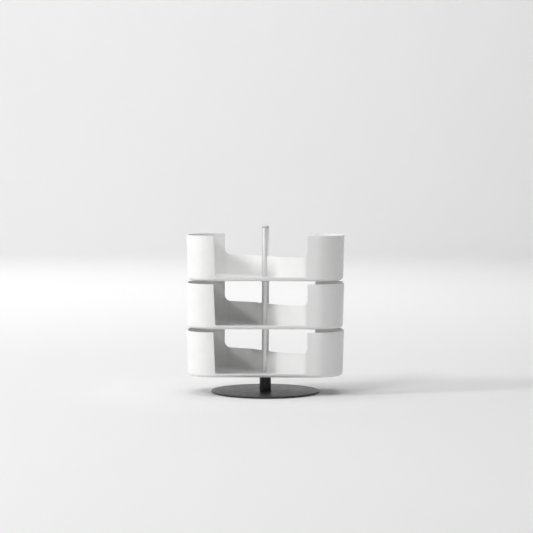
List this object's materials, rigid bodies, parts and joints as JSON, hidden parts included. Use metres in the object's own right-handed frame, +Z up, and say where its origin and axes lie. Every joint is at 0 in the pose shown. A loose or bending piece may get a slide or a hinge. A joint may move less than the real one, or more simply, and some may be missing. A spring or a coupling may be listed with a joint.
{
  "type": "swivel tray stand",
  "caption": "Stand with a round base plate, an upright rod and oval trays stacked on it that swivel, each split by an S-shaped wall into open-sided compartments.",
  "frame": {"origin": "on the surface it stands on, at the middle of the base", "axes": "+Z up along the rod, -Y towards the front, the trays lie lengthwise along X"},
  "size_m": [0.218, 0.15, 0.232],
  "materials": {
    "plate": "satin black coat",
    "foot": "matt black",
    "screw": "zinc plated",
    "collar": "satin black",
    "grub_screw": "black oxide",
    "rod": "fine satin, drawn lengthwise",
    "cap": "satin",
    "tray": "satin moulded white",
    "bush": "natural nylon",
    "washer": "natural acetal",
    "ring": "phosphated spring steel"
  },
  "bodies": {
    "stand": {"base_plate": "plate", "rubber_foot_1": "foot", "rubber_foot_2": "foot", "rubber_foot_3": "foot", "rubber_foot_4": "foot", "base_screw": "screw", "rod_collar": "collar", "collar_set_screw": "grub_screw", "center_rod": "rod", "rod_end_cap": "cap", "thrust_washer_bottom": "washer", "thrust_washer_middle": "washer", "thrust_washer_top": "washer", "retaining_ring_middle": "ring", "retaining_ring_top": "ring"},
    "tier_bottom": {"tray_bottom": "tray", "bush_bottom": "bush"},
    "tier_middle": {"tray_middle": "tray", "bush_middle": "bush"},
    "tier_top": {"tray_top": "tray", "bush_top": "bush"}
  },
  "joints": [
    {"name": "bottom_tray_swivel", "type": "hinge", "parent": "stand", "child": "tier_bottom", "pos_m": [0, 0, 0.0258], "axis": [0, 0, 1], "continuous": true},
    {"name": "middle_tray_swivel", "type": "hinge", "parent": "stand", "child": "tier_middle", "pos_m": [0, 0, 0.0918], "axis": [0, 0, 1], "continuous": true},
    {"name": "top_tray_swivel", "type": "hinge", "parent": "stand", "child": "tier_top", "pos_m": [0, 0, 0.1578], "axis": [0, 0, 1], "continuous": true}
  ]
}
